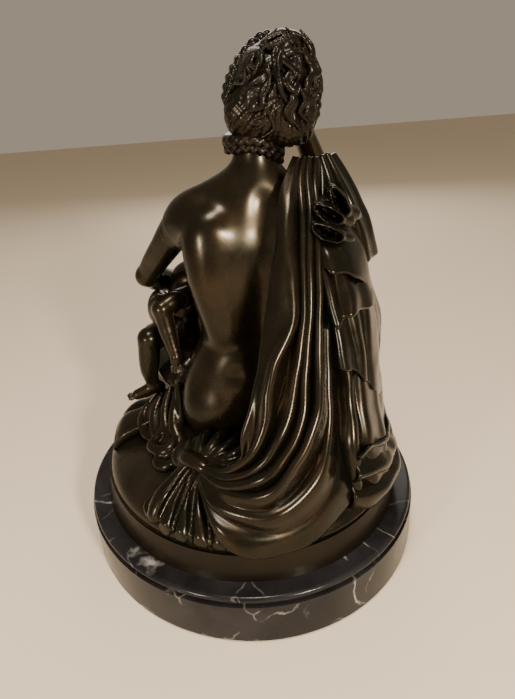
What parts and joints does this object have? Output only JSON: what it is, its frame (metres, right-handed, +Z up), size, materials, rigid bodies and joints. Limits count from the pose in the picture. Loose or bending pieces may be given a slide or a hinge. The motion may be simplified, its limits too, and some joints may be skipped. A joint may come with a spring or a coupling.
{
  "type": "bronze statuette",
  "caption": "Dark bronze seated woman, draped, resting her head on one hand and holding a child, on an oval black marble base.",
  "frame": {"origin": "middle of the underside of the oval base, on the surface it stands on", "axes": "+Z up, Y along the oval base's long axis, with the figure facing -Y turned 13 degrees towards its right, +X to the figure's left"},
  "size_m": [0.26, 0.284, 0.3541],
  "materials": {
    "base_felt": "dark green wool felt",
    "black_marble": "polished black marble with thin white and grey veins",
    "bronze_plinth": "brown patina, rubbed to gold brown along its edges",
    "bronze_ground": "dark brown patina over a rough cast ground",
    "bronze_cloth": "waxed dark brown patina, reddish brown on the folds",
    "bronze_flesh": "waxed and burnished dark brown patina",
    "bronze_hair": "dark brown patina, chased strands",
    "fixing_steel": "zinc-plated steel",
    "strap_brass": "plain sawn brass"
  },
  "bodies": {
    "root": {"felt_sheet": "base_felt", "marble_base": "black_marble", "bronze_plinth": "bronze_plinth", "fixing_straps": "strap_brass", "fixing_studs": "fixing_steel", "washers": "fixing_steel", "nuts": "fixing_steel", "terrain": "bronze_ground", "torso": "bronze_flesh", "woman_head": "bronze_flesh", "hair": "bronze_hair", "hair_knot": "bronze_hair", "left_braid": "bronze_hair", "right_braid": "bronze_hair", "nape_roll": "bronze_hair", "left_upper_arm": "bronze_flesh", "left_forearm": "bronze_flesh", "left_hand": "bronze_flesh", "right_forearm": "bronze_flesh", "right_hand": "bronze_flesh", "right_foot": "bronze_flesh", "left_foot": "bronze_flesh", "mantle_back": "bronze_cloth", "mantle_side": "bronze_cloth", "mantle_sleeve": "bronze_cloth", "mantle_cascade": "bronze_cloth", "ground_drapery": "bronze_cloth", "hip_drapery": "bronze_cloth", "right_skirt": "bronze_cloth", "left_skirt": "bronze_cloth", "front_hem": "bronze_cloth", "chest_drapery": "bronze_cloth", "child_body": "bronze_flesh", "child_head": "bronze_flesh", "child_right_arm": "bronze_flesh", "child_left_arm": "bronze_flesh", "child_right_leg": "bronze_flesh", "child_left_leg": "bronze_flesh"}
  },
  "joints": []
}
